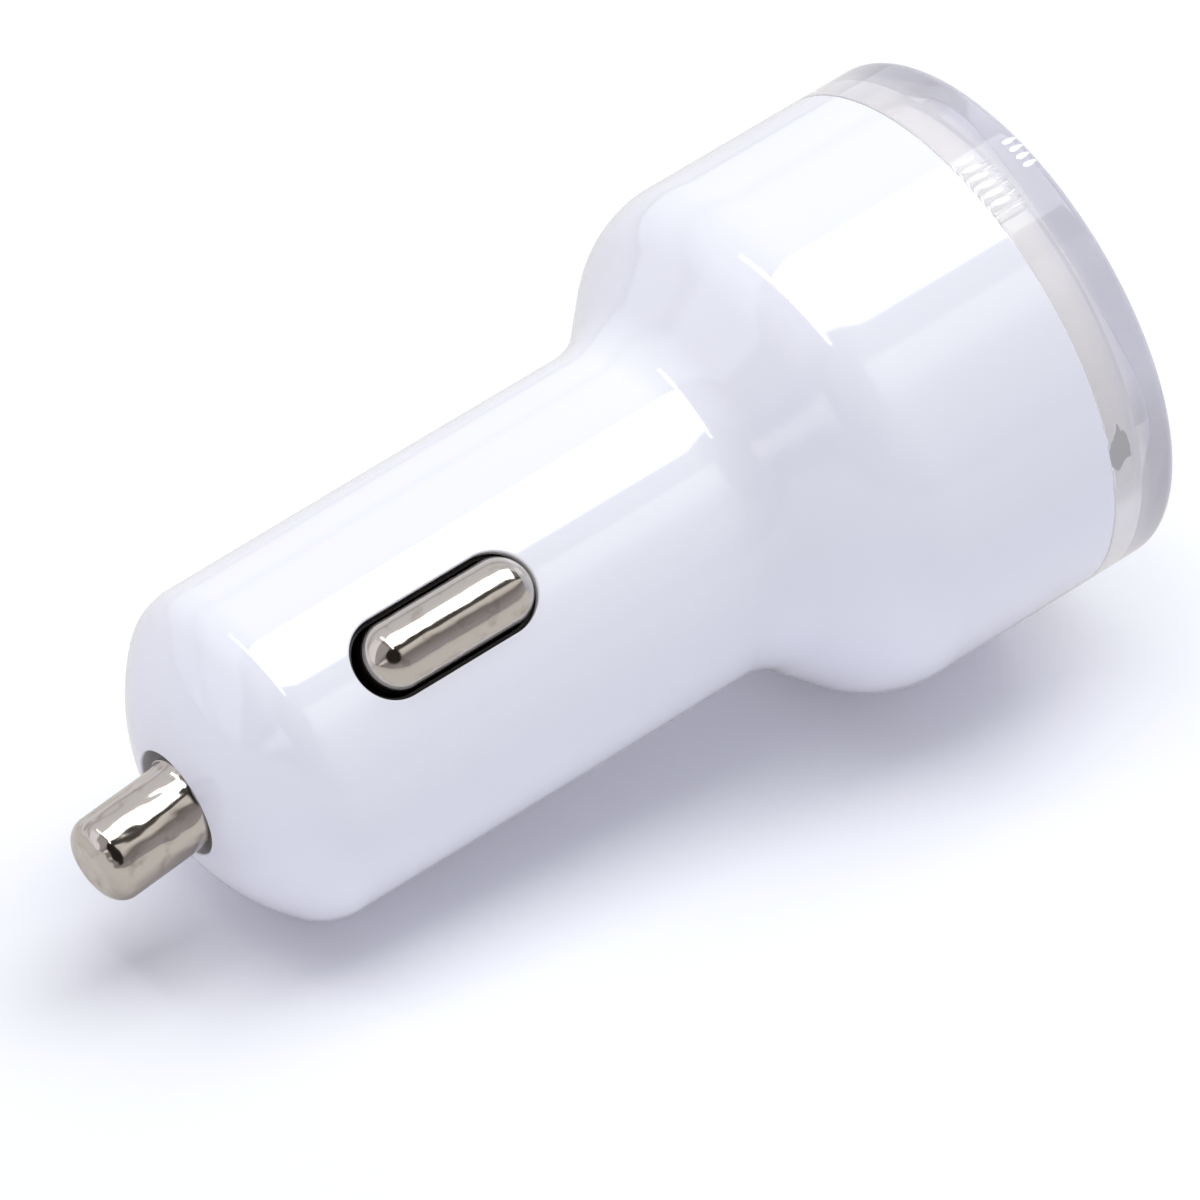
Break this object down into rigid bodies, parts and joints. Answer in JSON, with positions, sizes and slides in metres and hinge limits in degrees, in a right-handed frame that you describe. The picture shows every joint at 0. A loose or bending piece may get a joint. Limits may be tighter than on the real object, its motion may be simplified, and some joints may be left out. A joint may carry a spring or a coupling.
{
  "type": "car usb charger plug",
  "caption": "Car power-socket plug with a round head, clear light ring, USB sockets in its end face, sprung tip pin and sprung side contacts.",
  "frame": {"origin": "centre of the outer face, where the plug rests when it stands nose up", "axes": "+Z along the plug's axis from the outer face to the nose; -Y through the middle of the front side contact, +Y through the back one; the two USB sockets lie side by side along X"},
  "size_m": [0.032, 0.032, 0.0647],
  "materials": {
    "white_plastic": "gloss, moulded",
    "clear_plastic": "clear, moulded",
    "insert_plastic": "satin, moulded",
    "nickel": "nickel plated, drawn",
    "black_plastic": "moulded, dull",
    "spring_steel": "bright wire",
    "socket_steel": "tin plated, folded",
    "socket_plastic": "matte, moulded",
    "gold_strip": "gold plated",
    "board_laminate": "solder-resist green",
    "ferrite": "sintered, dull",
    "copper_wire": "enamelled",
    "can_aluminium": "sleeved can",
    "epoxy": "moulded epoxy",
    "chip_ceramic": "fired, dull"
  },
  "bodies": {
    "housing": {"shell": "white_plastic", "light_ring": "clear_plastic", "face_insert": "insert_plastic", "circuit_board": "board_laminate", "usb_case_left": "socket_steel", "usb_case_right": "socket_steel", "usb_core_left": "socket_plastic", "usb_core_right": "socket_plastic", "usb_strips_left": "gold_strip", "usb_strips_right": "gold_strip", "tip_spring": "spring_steel", "side_spring_front": "spring_steel", "side_spring_back": "spring_steel", "contact_guide_front": "black_plastic", "contact_guide_back": "black_plastic", "inductor_core": "ferrite", "inductor_winding": "copper_wire", "input_capacitor": "can_aluminium", "output_capacitor": "can_aluminium", "converter_chip": "epoxy", "rectifier_diode": "epoxy", "fuse": "chip_ceramic", "indicator_lights": "socket_plastic", "chip_resistors": "epoxy", "chip_capacitors": "chip_ceramic"},
    "tip": {"tip_contact": "nickel"},
    "front_contact": {"side_contact_front": "nickel"},
    "back_contact": {"side_contact_back": "nickel"}
  },
  "joints": [
    {"name": "tip_press", "type": "slide", "parent": "housing", "child": "tip", "axis": [0.0785, 0, -0.9969], "range_m": [0, 0.0028], "stiffness_N_per_m": 800, "springref_m": -0.002, "deforming": ["tip_spring"]},
    {"name": "front_contact_press", "type": "slide", "parent": "housing", "child": "front_contact", "axis": [0, 1, 0], "range_m": [0, 0.0012], "stiffness_N_per_m": 1500, "springref_m": -0.001, "deforming": ["side_spring_front"]},
    {"name": "back_contact_press", "type": "slide", "parent": "housing", "child": "back_contact", "axis": [0, -1, 0], "range_m": [0, 0.0012], "stiffness_N_per_m": 1500, "springref_m": -0.001, "deforming": ["side_spring_back"]}
  ]
}
